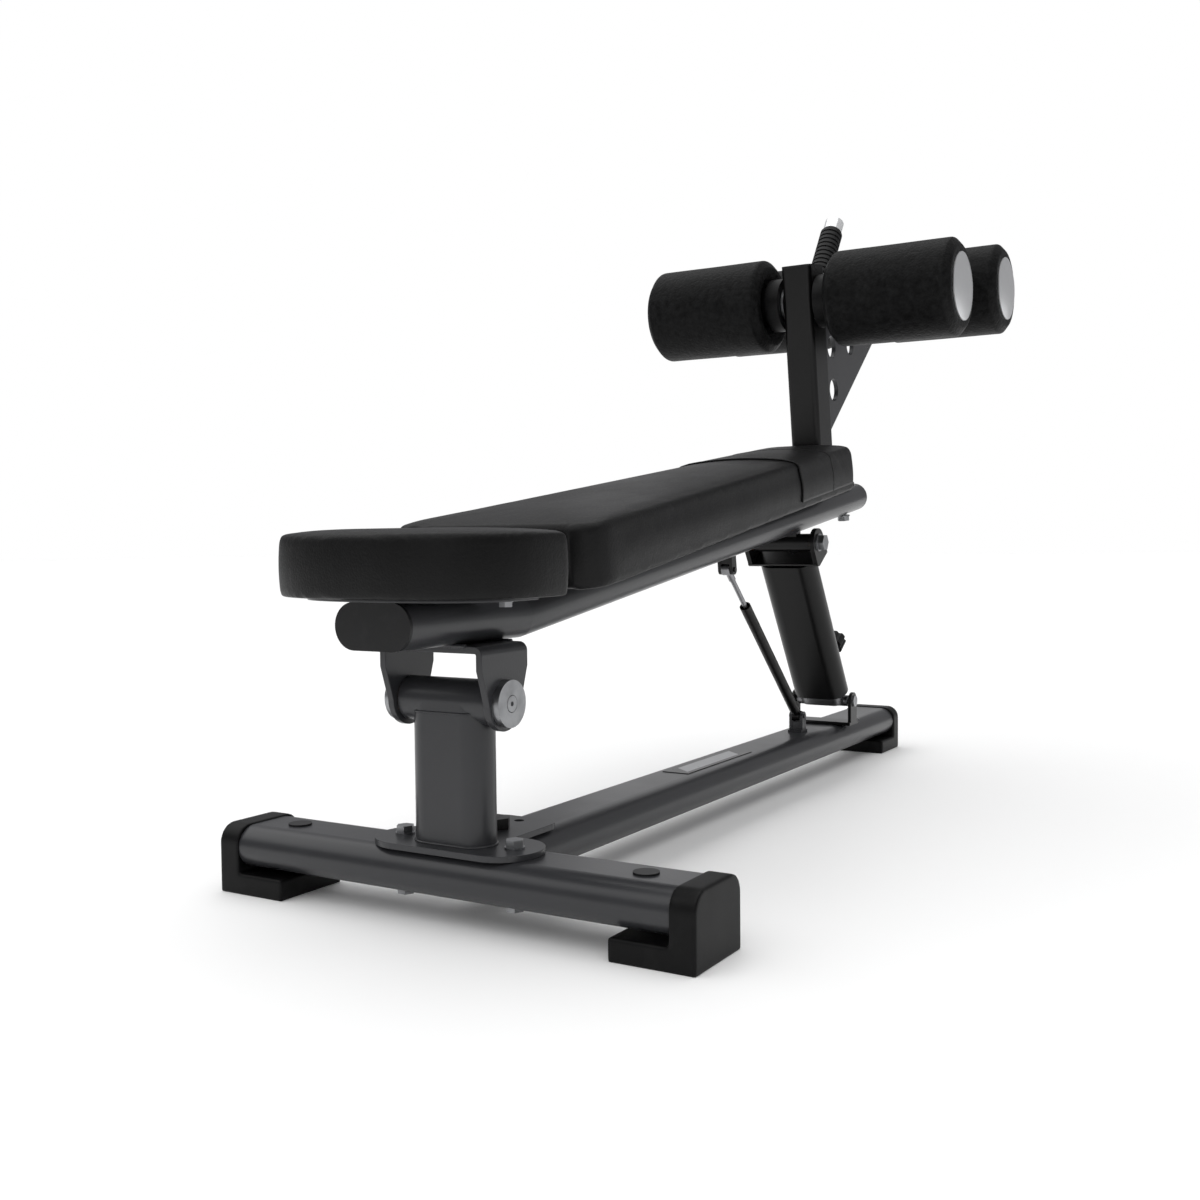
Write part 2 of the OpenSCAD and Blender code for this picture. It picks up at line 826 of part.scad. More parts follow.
module leg_bracket() {
  half = leg_ear_in + leg_ear_t;
  color(steel) on_leg() difference() {
    union() {
      translate([-half, -25, -web_z]) cube([2 * half, 50, web_t]);
      for (s = [-1, 1]) translate([s * (leg_ear_in + leg_ear_t / 2), 0, 0]) {
        translate([-leg_ear_t / 2, -24, -web_z]) cube([leg_ear_t, 48, web_z]);
        rod_x(24, leg_ear_t);
      }
    }
    rod_x(leg_pin_r, 4 * half);
  }
}

// The upper pivot bolt with its washers, and its nut as a second solid
module leg_bolt() {
  half = leg_ear_in + leg_ear_t;
  color(zinc) on_leg() {
    rotate([0, 90, 0]) translate([0, 0, half]) hex_bolt(leg_pin_r, 2 * half + 16, 24);
    rotate([0, 90, 0]) translate([0, 0, -half]) nut_below(leg_pin_r, 24);
  }
}

module thrust_washers() {
  color("saddlebrown") on_leg() {
    ring_x(13, leg_pin_r, leg_barrel_half + 0.3, leg_ear_in);
    ring_x(13, leg_pin_r, -leg_ear_in, -leg_barrel_half - 0.3);
  }
}

module pin_housing() {
  color(zinc) on_leg() translate([0, tube_h / 2, -pin_a]) rotate([-90, 0, 0]) difference() {
    union() {
      hex_head(24, 12);
      cylinder(r = 10.5, h = 46);
    }
    translate([0, 0, -1]) cylinder(r = pin_r + run, h = 60);
  }
}

// The plunger's nose stops short of the inner tube
module pin_plunger() {
  nose = inner_t / 2 + pin_rest;
  color(zinc) on_leg() translate([0, nose, -pin_a]) rotate([-90, 0, 0]) {
    cylinder(r = pin_r, h = tube_h / 2 - nose + 66);
  }
}

module pin_knob() {
  color(soft) on_leg() translate([0, tube_h / 2 + 47, -pin_a]) rotate([-90, 0, 0]) difference() {
    union() {
      cylinder(r = 12, h = 17);
      translate([0, 0, 17]) cylinder(r = 18, h = 26);
    }
    for (i = [0:5]) rotate([0, 0, 60 * i]) translate([20, 0, 16]) cylinder(r = 5, h = 28);
    translate([0, 0, -1]) cylinder(r = pin_r, h = 20);
  }
}

module leg_inner() {
  first = pin_a;
  pitch = (leg_len - inner_tip - 60) / leg_holes / 2;
  color(steel) on_leg() difference() {
    translate([0, 0, -leg_len]) linear_extrude(leg_len - inner_tip) difference() {
      oval(inner_w, inner_t);
      oval(inner_w - 5, inner_t - 5);
    }
    translate([0, 0, -leg_len]) rod_x(foot_barrel_r, 2 * tube_w);
    for (i = [0:leg_holes - 1]) translate([0, 0, -first + i * pitch]) {
      rotate([-90, 0, 0]) cylinder(r = pin_r + 0.5, h = tube_h);
    }
  }
}

module leg_foot() {
  color(steel) on_leg() translate([0, 0, -leg_len]) {
    ring_x(foot_barrel_r, foot_pin_r + run, -foot_half, foot_half);
  }
}

// ---- gas strut -----------------------------------------------------------

module strut_head() {
  half = eye_half + eye_gap;
  ear = fork_ear;
  drop = -strut_n - tube_h / 2;
  color(steel) on_rail() translate([0, strut_s, 0]) union() {
    translate([-half - ear, -14, -tube_h / 2 - 4]) cube([2 * half + 2 * ear, 28, 4]);
    for (s = [-1, 1]) translate([s * (half + ear / 2), 0, 0]) {
      translate([-ear / 2, -8, strut_n]) cube([ear, 16, drop]);
      translate([0, 0, strut_n]) rod_x(8, ear);
    }
    translate([-half - 1, -7, strut_n + eye_r + 1]) cube([2 * half + 2, 14, drop - eye_r - 1]);
    translate([0, 0, strut_n]) rod_x(strut_pin_r, 2 * half + 2 * ear + 4);
  }
}

module strut_cylinder() {
  bore_from = 26;
  color(soft) on_strut() difference() {
    union() {
      rod_x(eye_r, 2 * eye_half);
      translate([0, 0, 4]) cylinder(r = 5.5, h = 18);
      translate([0, 0, 20]) cylinder(r = strut_r, h = cyl_end - 20);
    }
    rod_x(strut_pin_r + run, 40);
    translate([0, 0, bore_from]) cylinder(r = strut_r - 1, h = cyl_end);
  }
}

module strut_rod() {
  color(zinc) on_strut() translate([0, 0, strut_len]) difference() {
    union() {
      rod_x(eye_r, 2 * eye_half);
      translate([0, 0, -rod_reach]) cylinder(r = rod_r, h = rod_reach);
      translate([0, 0, -24]) cylinder(r = 5.5, h = 20);
    }
    rod_x(strut_pin_r + run, 40);
  }
}

crossbar();
spine();
front_feet();
rear_foot();
tube_plugs();
base_plate();
front_post();
pivot_barrel();
pivot_bushes();
plate_bolts();
tongue_bolt();
lower_bracket();
lower_pin();
strut_foot();
name_plate();
rail_level();
rail();
rail_caps();
front_clevis();
pivot_shaft();
pivot_discs();
head_plate();
head_pad();
head_bolts();
pad_board();
main_pad();
wear_cover();
pad_bolts();
column();
column_bolts();
gusset();
roller_axles();
axle_collars();
handle_bar();
handle_grip();
leg_lug();
strut_head();
leg_sleeve();
leg_bracket();
leg_bolt();
thrust_washers();
pin_housing();
pin_plunger();
pin_knob();
leg_inner();
leg_foot();
strut_cylinder();
strut_rod();
foam_near_left();
foam_near_right();
foam_far_left();
foam_far_right();
core_near_left();
core_near_right();
core_far_left();
core_far_right();
caps_near_left();
caps_near_right();
caps_far_left();
caps_far_right();
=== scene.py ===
import json
import math

import bmesh
import bpy
import numpy as np
from mathutils import Matrix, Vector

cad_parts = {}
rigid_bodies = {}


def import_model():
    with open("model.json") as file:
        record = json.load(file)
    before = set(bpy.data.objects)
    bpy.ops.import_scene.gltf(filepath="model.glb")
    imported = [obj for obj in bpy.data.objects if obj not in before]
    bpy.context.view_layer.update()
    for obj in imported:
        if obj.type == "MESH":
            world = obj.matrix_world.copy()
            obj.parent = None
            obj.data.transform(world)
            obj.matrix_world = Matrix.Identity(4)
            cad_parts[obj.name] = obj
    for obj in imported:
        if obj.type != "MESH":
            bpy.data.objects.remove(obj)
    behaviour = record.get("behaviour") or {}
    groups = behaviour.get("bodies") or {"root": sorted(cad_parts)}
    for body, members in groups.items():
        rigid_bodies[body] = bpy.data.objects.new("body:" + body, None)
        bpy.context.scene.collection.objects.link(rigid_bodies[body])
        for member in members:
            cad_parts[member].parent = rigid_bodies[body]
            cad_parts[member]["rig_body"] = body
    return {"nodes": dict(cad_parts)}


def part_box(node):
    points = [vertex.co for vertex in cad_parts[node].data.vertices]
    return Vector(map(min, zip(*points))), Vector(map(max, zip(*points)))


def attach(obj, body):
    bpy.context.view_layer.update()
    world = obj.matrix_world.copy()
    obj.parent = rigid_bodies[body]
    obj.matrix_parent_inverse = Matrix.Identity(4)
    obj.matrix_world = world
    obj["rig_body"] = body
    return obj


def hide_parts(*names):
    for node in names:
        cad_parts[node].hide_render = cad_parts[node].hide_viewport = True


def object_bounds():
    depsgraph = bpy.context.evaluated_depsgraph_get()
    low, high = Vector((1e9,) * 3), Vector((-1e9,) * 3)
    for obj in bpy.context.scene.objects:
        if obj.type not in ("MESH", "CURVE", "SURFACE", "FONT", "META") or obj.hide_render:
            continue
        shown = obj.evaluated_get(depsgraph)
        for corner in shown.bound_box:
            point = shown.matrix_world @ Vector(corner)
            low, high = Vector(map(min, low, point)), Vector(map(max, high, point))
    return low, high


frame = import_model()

cad_low, cad_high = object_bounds()
cad_low, cad_high = list(cad_low), list(cad_high)


# ---- Camera -------------------------------------------------------------------------
# A normal lens held at knee height, off the head end's right corner, looking along the
# bench and a little down.

EYE = (0.8776, -1.7614, 0.4201)
YAW, PITCH, ROLL = math.radians(30.98), math.radians(-2.63), math.radians(-0.55)
SENSOR_MM, LENS_MM = 36.0, 39.04
SEES_FROM, SEES_TO = 0.05, 200.0


def added(name, data):
    """A new object of this name and data, in the scene."""
    made = bpy.data.objects.new(name, data)
    bpy.context.scene.collection.objects.link(made)
    return made


def stand(thing, spot, across, up, back):
    """Puts a camera or a lamp at the spot, its own X, Y and Z along the three directions."""
    axes = np.stack([across, up, back], 1)
    thing.matrix_world = Matrix([[*row, place] for row, place in zip(axes, spot)] + [[0, 0, 0, 1]])


forward = np.array([-math.sin(YAW) * math.cos(PITCH), math.cos(YAW) * math.cos(PITCH), math.sin(PITCH)])
level_right = np.array([math.cos(YAW), math.sin(YAW), 0.0])
level_up = np.cross(level_right, forward)
lens = bpy.data.cameras.new("camera")
lens.sensor_width, lens.lens = SENSOR_MM, LENS_MM
lens.clip_start, lens.clip_end = SEES_FROM, SEES_TO
camera = added("camera", lens)
stand(camera, EYE, math.cos(ROLL) * level_right + math.sin(ROLL) * level_up,
      math.cos(ROLL) * level_up - math.sin(ROLL) * level_right, -forward)
bpy.context.scene.camera = camera


# ---- Studio -------------------------------------------------------------------------
# A plain white sweep: one pale paper floor, a wide soft light overhead and three weaker
# lamps round the bench. What shines back from the steel is a dimmer room with two windows.

FLOOR_HALF = 30
GLOW_STOPS = [(0.0, (0.2, 0.2, 0.2)), (0.5, (0.07, 0.07, 0.073)), (0.72, (0.16, 0.16, 0.165)),
              (1.0, (0.45, 0.45, 0.45))]
# Each window: the way to it, how near that way it begins and is full, and its colour.
WINDOWS = (((0.6, 0.78, 0.1), 0.4, 0.95, (0.36, 0.36, 0.365)),
           ((-0.5, 0.85, 0.17), 0.6, 0.97, (0.36, 0.36, 0.37)))
FILL, BACKDROP = (0.62, 0.62, 0.62), (1.0, 1.0, 1.0)
SUN_POWER, SUN_SPREAD = 1.98, math.radians(100)
SUN_TURN = (math.radians(8), math.radians(-10), 0)
LAMPS = {"left": ((-3.2, -1.2, 1.8), 1.6, 3.0), "front": ((0.9, -4.0, 1.5), 1.8, 4.0),
         "back": ((-1.6, 4.0, 1.6), 2.0, 5.0)}
LAMPS_AIM = (0, 0, 0.45)

bpy.context.scene.view_settings.view_transform = "Standard"


class Value:
    """A socket that Python's arithmetic works on: each operation adds its Math node."""

    def __init__(self, finish, socket):
        self.finish, self.socket = finish, socket

    def math(self, operation, first, second=None):
        return self.finish.node("ShaderNodeMath", {"operation": operation}, {0: first, 1: second})

    def __add__(self, other):
        return self.math("ADD", self, other)

    def __mul__(self, other):
        return self.math("MULTIPLY", self, other)

    def __sub__(self, other):
        return self.math("SUBTRACT", self, other)

    def __rsub__(self, other):
        return self.math("SUBTRACT", other, self)

    def within(self, limit):
        """One where the value is nearer to nought than the limit, and nought elsewhere."""
        return self.math("LESS_THAN", self.math("ABSOLUTE", self), limit)

    __radd__, __rmul__ = __add__, __mul__


class Finish:
    """A node tree, a material's unless one is given; node() adds one node and hands back an output."""

    def __init__(self, name, tree=None):
        self.material = None if tree else bpy.data.materials.new(name)
        if self.material:
            self.material.use_nodes = True
        self.tree = tree or self.material.node_tree
        self.shader = self.tree.nodes.get("Principled BSDF")

    def plug(self, socket, value):
        if isinstance(value, Value):
            self.tree.links.new(value.socket, socket)
        elif value is not None:
            socket.default_value = value

    def node(self, kind, settings=None, inputs=None, out=0):
        made = self.tree.nodes.new(kind)
        for name, value in (settings or {}).items():
            if name == "stops":
                ramp = made.color_ramp
                while len(ramp.elements) < len(value):
                    ramp.elements.new(0.5)
                for stop, (position, colour) in zip(ramp.elements, value):
                    stop.position, stop.color = position, (*colour, 1.0)
            else:
                setattr(made, name, value)
        for name, value in (inputs or {}).items():
            self.plug(made.inputs[name], value)
        return Value(self, made.outputs[out])

    def place(self, stretch=(1, 1, 1)):
        """The piece's own coordinates in metres, stretched."""
        spot = self.node("ShaderNodeTexCoord", out="Object")
        return self.node("ShaderNodeMapping", {}, {"Vector": spot, "Scale": stretch})

    def noise(self, scale, detail, rough=0.55, at=None):
        return self.node("ShaderNodeTexNoise", {},
                         {"Vector": at or self.place(), "Scale": scale, "Detail": detail, "Roughness": rough})

    def cells(self, scale, at):
        return self.node("ShaderNodeTexVoronoi", {}, {"Vector": at, "Scale": scale})

    def shaken(self, at, scale, amount):
        """The coordinates moved by a noise of this scale, up to the amount in metres."""
        drift = self.node("ShaderNodeTexNoise", {}, {"Vector": at, "Scale": scale}, out=1)
        return self.node("ShaderNodeVectorMath", {"operation": "MULTIPLY_ADD"},
                         {0: drift, 1: (amount, amount, amount), 2: at})

    def between(self, value, low, high):
        """Value moved from the range low..high to 0..1 and held inside it."""
        return self.node("ShaderNodeMapRange", {}, {"Value": value, "From Min": low, "From Max": high})

    def mix(self, share, first, second):
        """The first colour turning into the second as the share goes from 0 to 1."""
        colours = [(*colour, 1.0) if isinstance(colour, tuple) else colour for colour in (first, second)]
        return self.node("ShaderNodeMix", {"data_type": "RGBA"},
                         {"Factor": share, 6: colours[0], 7: colours[1]}, out=2)

    def bump(self, height, depth, strength, under=None):
        """A bump of the given depth in metres on top of the one under it."""
        return self.node("ShaderNodeBump", {},
                         {"Height": height, "Distance": depth, "Strength": strength, "Normal": under})

    def wear(self, **values):
        """Sets the shader's own sockets, each named by its words joined with underscores."""
        for name, value in values.items():
            if isinstance(value, tuple):
                value = (*value, 1.0)
            self.plug(self.shader.inputs[name.replace("_", " ")], value)
        return self.material


floor_mesh = bpy.data.meshes.new("floor")
floor_mesh.from_pydata([(x * FLOOR_HALF, y * FLOOR_HALF, 0) for x, y in ((-1, -1), (1, -1), (1, 1), (-1, 1))],
                       [], [(0, 1, 2, 3)])
added("floor", floor_mesh)
paper = Finish("white_paper")
floor_mesh.materials.append(paper.wear(Base_Color=(0.93, 0.93, 0.93), Roughness=0.55, Specular_IOR_Level=0.2))

world = bpy.data.worlds.new("studio")
world.use_nodes = True
bpy.context.scene.world = world
sky = Finish("studio", world.node_tree)
toward = sky.node("ShaderNodeTexCoord", out="Generated")
height = sky.node("ShaderNodeSeparateXYZ", {}, {0: toward}, out=2)
room = sky.node("ShaderNodeValToRGB", {"stops": GLOW_STOPS}, {0: height * 0.5 + 0.5})
for way, begins, full, colour in WINDOWS:
    nearness = sky.node("ShaderNodeVectorMath", {"operation": "DOT_PRODUCT"}, {0: toward, 1: way}, out="Value")
    room = sky.mix(sky.between(nearness, begins, full), room, colour)
for ray, colour in (("Is Diffuse Ray", FILL), ("Is Camera Ray", BACKDROP)):
    room = sky.mix(sky.node("ShaderNodeLightPath", out=ray), room, colour)
background = world.node_tree.nodes["Background"]
sky.plug(background.inputs["Color"], room)
background.inputs["Strength"].default_value = 1.0

sun = bpy.data.lights.new("overhead", "SUN")
sun.energy, sun.angle = SUN_POWER, SUN_SPREAD
added("overhead", sun).rotation_euler = SUN_TURN

for name, (spot, size, power) in LAMPS.items():
    light = bpy.data.lights.new(name, "AREA")
    light.size, light.energy = size, power
    back = np.array(spot) - LAMPS_AIM
    back = back / np.linalg.norm(back)
    across = np.cross((0, 0, 1), back)
    across = across / np.linalg.norm(across)
    stand(added(name, light), spot, across, np.cross(back, across), back)


# ---- Powder-coated frame ------------------------------------------------------------
# Flat-oval steel tubes and laser-cut plates, welded and powder coated in charcoal grey.
# The coat has a fine orange peel and a little haze where hands and shoes have been.

MERGED_WITHIN = 0.00002
FLAT_BELOW, SHARP_ABOVE, SHADED_ABOVE = math.radians(0.4), math.radians(38), math.radians(50)
COATED_EDGE = 0.001
BRACKET_FOLD = 0.0095


def dress(finish, *names):
    """Gives each named steel, rubber or plastic part this finish in place of its plain one."""
    for name in names:
        mesh = frame["nodes"][name].data
        mesh.materials.clear()
        mesh.materials.append(finish)


def shade_smooth(mesh):
    mesh.polygons.foreach_set("use_smooth", np.ones(len(mesh.polygons), bool))


def stands_for(made, name):
    """The new piece rides where the part does and hides it."""
    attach(made, frame["nodes"][name]["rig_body"])
    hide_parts(name)


def sharp_edges(work):
    return [edge for edge in work.edges if len(edge.link_faces) == 2 and edge.calc_face_angle() > SHARP_ABOVE]


def eased(name, fold=0.0):
    """A copy of a part with its loose triangles merged and its sharp edges rounded a little, as a coat
    leaves them. With a fold, the lowest long edges of its outer sides are first rounded to that radius,
    as a bent plate has them."""
    part = frame["nodes"][name]
    work = bmesh.new()
    work.from_mesh(part.data)
    bmesh.ops.remove_doubles(work, verts=work.verts, dist=MERGED_WITHIN)
    bmesh.ops.dissolve_limit(work, angle_limit=FLAT_BELOW, verts=work.verts, edges=work.edges)
    if fold:
        reach = max(corner.co.x for corner in work.verts) - 0.0001
        outer = [edge for edge in sharp_edges(work)
                 if min(abs(end.co.x) for end in edge.verts) > reach and edge.calc_length() > 4 * fold]
        lowest = min(sum(end.co.z for end in edge.verts) for edge in outer)
        folds = [edge for edge in outer if sum(end.co.z for end in edge.verts) < lowest + 0.0002]
        bmesh.ops.bevel(work, geom=folds, offset=fold, segments=6, profile=0.5, affect="EDGES")
    bmesh.ops.bevel(work, geom=sharp_edges(work), offset=COATED_EDGE, segments=2, profile=0.5, affect="EDGES",
                    clamp_overlap=True)
    mesh = bpy.data.meshes.new(name + "_eased")
    work.to_mesh(mesh)
    work.free()
    shade_smooth(mesh)
    mesh.set_sharp_from_angle(angle=SHADED_ABOVE)
    mesh.materials.append(part.data.materials[0])
    made = added(name + "_eased", mesh)
    made.modifiers.new("even", "WEIGHTED_NORMAL").keep_sharp = True
    stands_for(made, name)


def powder_coat(name, colour, rough, gloss):
    coat = Finish(name)
    peel = coat.noise(420.0, 2.0)
    speck = coat.noise(2600.0, 1.0)
    haze = coat.between(coat.noise(7.0, 3.0), 0.3, 0.7)
    hazed = tuple(c * 1.22 for c in colour)
    return coat.wear(Base_Color=coat.mix(haze, colour, hazed), Roughness=rough + 0.06 * haze,
                     Specular_IOR_Level=gloss,
                     Normal=coat.bump(speck, 0.00005, 0.35, coat.bump(peel, 0.0002, 0.5)))


charcoal = powder_coat("charcoal_coat", (0.026, 0.0265, 0.029), 0.27, 0.42)
dress(charcoal, "crossbar", "spine", "base_plate", "front_post", "pivot_barrel", "rail_level", "rail",
      "front_clevis", "head_plate", "gusset", "strut_foot")
black_coat = powder_coat("black_coat", (0.0035, 0.0034, 0.0035), 0.26, 0.27)
dress(black_coat, "column", "leg_lug", "leg_sleeve", "leg_bracket", "lower_bracket", "strut_head")

for plate in ("base_plate", "gusset", "front_clevis", "head_plate"):
    eased(plate)
eased("column")
eased("leg_bracket", BRACKET_FOLD)
eased("lower_bracket")


# ---- Weld beads ---------------------------------------------------------------------
# The short fillets where tube meets tube or plate, each a row of overlapping pools,
# coated over with the frame.

BEND_Y, RAIL_Z, INCLINE = -0.532042, 0.3343, math.radians(8.25)
POOL, BEAD_STEP, BEAD_SIDES = 0.0034, 0.0014, 8
TUBE_W, TUBE_H, OVAL_STEPS = 0.1, 0.05, 96
POST_Y, PLATE_TOP, BARREL_UNDER = -0.615042, 0.087, 0.2335
CLEVIS_WELD_X, CLEVIS_WELD_HALF, CLEVIS_WELD_Y, CLEVIS_TOP = 0.028, 0.02, 0.043, 0.3091
COLUMN_S, COLUMN_HALF_W, COLUMN_HALF_S, COLUMN_FOOT_N = 1.003, 0.027, 0.035, 0.0335
GUSSET_WELD_X, GUSSET_WELD_S, GUSSET_WELD_FROM, GUSSET_WELD_TO = 0.0052, 1.0386, 0.102, 0.39
SIDES = {"left": -1, "right": 1}


def rail_point(x, s, n):
    """A point x across, s along the inclined rail from its bend and n square above its middle."""
    x, s, n = np.broadcast_arrays(x, s, n)
    return np.stack([x, BEND_Y + s * math.cos(INCLINE) - n * math.sin(INCLINE),
                     RAIL_Z + s * math.sin(INCLINE) + n * math.cos(INCLINE)], -1)


def turn_outwards(mesh):
    """Merges doubles and makes every face of a closed form point away from its inside."""
    work = bmesh.new()
    work.from_mesh(mesh)
    bmesh.ops.remove_doubles(work, verts=work.verts, dist=1e-6)
    bmesh.ops.recalc_face_normals(work, faces=work.faces)
    work.to_mesh(mesh)
    work.free()


def piece(name, points, finish, body, closed_u=True, closed_v=True, caps=False):
    """A mesh from a grid of points: rows follow u, columns follow v, and either may close on itself.
    With caps the first and last rows each get one more point in their middle, which closes the form."""
    rows, columns = points.shape[:2]
    corners = points.reshape(-1, 3)
    u = np.arange(rows if closed_u else rows - 1)[:, None]
    v = np.arange(columns if closed_v else columns - 1)[None, :]
    u1, v1 = (u + 1) % rows, (v + 1) % columns
    quads = np.broadcast_arrays(u * columns + v, u * columns + v1, u1 * columns + v1, u1 * columns + v)
    faces = np.stack(quads, -1).reshape(-1, 4).tolist()
    if caps:
        corners = np.concatenate([corners, [points[0].mean(0), points[-1].mean(0)]])
        ring = np.arange(columns)
        after = (ring + 1) % columns
        last_row, first_middle = (rows - 1) * columns, rows * columns
        faces += np.stack([after, ring, np.full(columns, first_middle)], 1).tolist()
        faces += np.stack([last_row + ring, last_row + after, np.full(columns, first_middle + 1)], 1).tolist()
    mesh = bpy.data.meshes.new(name)
    mesh.from_pydata(corners.tolist(), [], faces)
    mesh.validate()
    turn_outwards(mesh)
    mesh.materials.append(finish)
    shade_smooth(mesh)
    made = added(name, mesh)
    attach(made, body)
    return made


def weld_bead(name, path, body, finish=charcoal, radius=0.0026, closed=True, ripple=0.16):
    """A tube along the path whose radius swells and shrinks once per pool as the size of a sine does.
    At each path point the ring stands square to the path's own direction there."""
    path = np.asarray(path, float)
    loop = np.concatenate([path, path[:1]]) if closed else path
    run = np.concatenate([[0], np.cumsum(np.linalg.norm(np.diff(loop, axis=0), axis=1))])
    count = max(24, int(run[-1] / BEAD_STEP))
    along = np.linspace(0, run[-1], count, endpoint=not closed)
    line = np.stack([np.interp(along, run, loop[:, k]) for k in range(3)], 1)
    ahead = np.roll(line, -1, 0) - np.roll(line, 1, 0) if closed else np.gradient(line, axis=0)
    ahead /= np.linalg.norm(ahead, axis=1)[:, None]
    out = np.cross(ahead, (0.3, 0.5, 0.81))      # any way that no bead follows
    out /= np.linalg.norm(out, axis=1)[:, None]
    above = np.cross(ahead, out)
    thick = radius * (1 + ripple * (np.abs(np.sin(np.pi * along / POOL)) - 0.5))
    turn = np.linspace(0, 2 * np.pi, BEAD_SIDES, endpoint=False)[None, :, None]
    ring = np.cos(turn) * out[:, None] + np.sin(turn) * above[:, None]
    return piece(name, line[:, None] + thick[:, None, None] * ring, finish, body, closed_u=closed,
                 caps=not closed)


def oval_line(width, depth):
    """The outline of a flat oval: two half circles of the depth joined by straight sides."""
    half, radius = (width - depth) / 2, depth / 2
    turn = np.linspace(0, 2 * np.pi, OVAL_STEPS, endpoint=False)
    return np.sign(np.cos(turn)) * half + radius * np.cos(turn), radius * np.sin(turn)


oval_x, oval_y = oval_line(TUBE_W, TUBE_H)
for end, level, radius in (("foot", PLATE_TOP + 0.0006, 0.0017), ("top", BARREL_UNDER, 0.0014)):
    weld_bead(f"weld_post_{end}", np.stack([oval_x, POST_Y + oval_y, np.full(OVAL_STEPS, level)], 1), "base",
              radius=radius)
for side, way in SIDES.items():
    for face, ahead in (("front", -1), ("back", 1)):
        bead_x = way * CLEVIS_WELD_X + np.linspace(-CLEVIS_WELD_HALF, CLEVIS_WELD_HALF, 12)
        bead_y, bead_z = np.full(12, POST_Y + ahead * CLEVIS_WELD_Y), np.full(12, CLEVIS_TOP)
        weld_bead(f"weld_clevis_{side}_{face}", np.stack([bead_x, bead_y, bead_z], 1), "bench", closed=False,
                  radius=0.0024)
round_column = np.linspace(0, 4, 120, endpoint=False)
column_x = np.interp(round_column, range(5), np.array([-1, 1, 1, -1, -1]) * COLUMN_HALF_W)
column_s = np.interp(round_column, range(5), COLUMN_S + np.array([-1, -1, 1, 1, -1]) * COLUMN_HALF_S)
weld_bead("weld_column_foot", rail_point(column_x, column_s, COLUMN_FOOT_N), "bench", black_coat)
for side, way in SIDES.items():
    bead_n = np.linspace(GUSSET_WELD_FROM, GUSSET_WELD_TO, 60)
    weld_bead(f"weld_gusset_{side}", rail_point(way * GUSSET_WELD_X, GUSSET_WELD_S, bead_n), "bench",
              closed=False, radius=0.0022)


# ---- Rubber feet, plugs and caps ----------------------------------------------------
# Moulded black rubber feet pushed over the tube ends, with a fine spark-eroded grain, and
# the plastic plugs, caps, knob and roller cores.

FOOT_VOXEL, FOOT_PASSES = 0.0018, 9


def moulded(name, colour, rough, grain, depth, gloss=0.3):
    rubber = Finish(name)
    pores = rubber.noise(grain, 2.0)
    cloud = rubber.noise(11.0, 2.0)
    dust = rubber.between(rubber.noise(60.0, 4.0), 0.5, 0.75)
    dusty = tuple(c * 1.6 + 0.004 for c in colour)
    return rubber.wear(Base_Color=rubber.mix(dust * 0.5, colour, dusty), Roughness=rough + 0.1 * cloud,
                       Specular_IOR_Level=gloss, Normal=rubber.bump(pores, depth, 0.6))


def applied(made, kind, **settings):
    """Adds a modifier with these settings and makes its result the piece's own mesh."""
    bpy.context.view_layer.objects.active = made
    modifier = made.modifiers.new(kind.lower(), kind)
    for name, value in settings.items():
        setattr(modifier, name, value)
    with bpy.context.temp_override(object=made, active_object=made, selected_objects=[made]):
        bpy.ops.object.modifier_apply(modifier=modifier.name)


def softened(name):
    """A copy of a moulded part remeshed evenly and smoothed, so that all its edges turn round softly."""
    made = added(name + "_soft", frame["nodes"][name].data.copy())
    applied(made, "REMESH", mode="VOXEL", voxel_size=FOOT_VOXEL)
    applied(made, "SMOOTH", factor=0.5, iterations=FOOT_PASSES)
    shade_smooth(made.data)
    stands_for(made, name)


def roller_parts(kind):
    """The names of the four roller parts of one kind."""
    return [f"{kind}_{row}_{side}" for row in ("near", "far") for side in SIDES]


dress(moulded("foot_rubber", (0.0022, 0.0022, 0.0024), 0.4, 1500.0, 0.00012, 0.17), "front_feet",
      "rear_foot")
for foot in ("front_feet", "rear_foot"):
    softened(foot)
dress(moulded("cap_plastic", (0.007, 0.007, 0.0075), 0.38, 900.0, 0.0001), "tube_plugs", "rail_caps",
      "pin_knob")
# The roller cores' plastic is made darker than the caps': painted shade, standing in for the shade they sit in
# at the foam sleeves' inner ends.
dress(moulded("hub_plastic_painted_shade", (0.0025, 0.0025, 0.0027), 0.42, 600.0, 0.00006, 0.16), *roller_parts("core"))


# ---- Name plate ---------------------------------------------------------------------
# A thin dark plate stuck on the long base tube, blank, with a brushed silver panel whose
# ends are cut on the slant.

PLATE_Y, PANEL_HALF_W, PANEL_HALF_L, PANEL_SLANT = 0.02, 0.0135, 0.088, 0.8

blank = Finish("blank_label")
blank_x, blank_y = (blank.node("ShaderNodeSeparateXYZ", {}, {0: blank.place()}, out=axis) for axis in (0, 1))
panel = blank_x.within(PANEL_HALF_W) * (blank_y - PLATE_Y + blank_x * PANEL_SLANT).within(PANEL_HALF_L)
brushed = blank.noise(500.0, 2.0, at=blank.place((1.0, 0.05, 1.0)))
dress(blank.wear(Base_Color=blank.mix(panel, (0.012, 0.012, 0.013), (0.36, 0.365, 0.375)), Metallic=panel * 0.9,
                 Roughness=0.24 + 0.14 * brushed, Normal=blank.bump(brushed, 0.00002, 0.4)), "name_plate")


# ---- Bolts, shafts and discs --------------------------------------------------------
# Zinc-plated and turned steel: bolts, nuts, washers, pivot shaft, axles and the end discs,
# with faint turning marks and a little tarnish; bronze bushes and a bright grab bar.

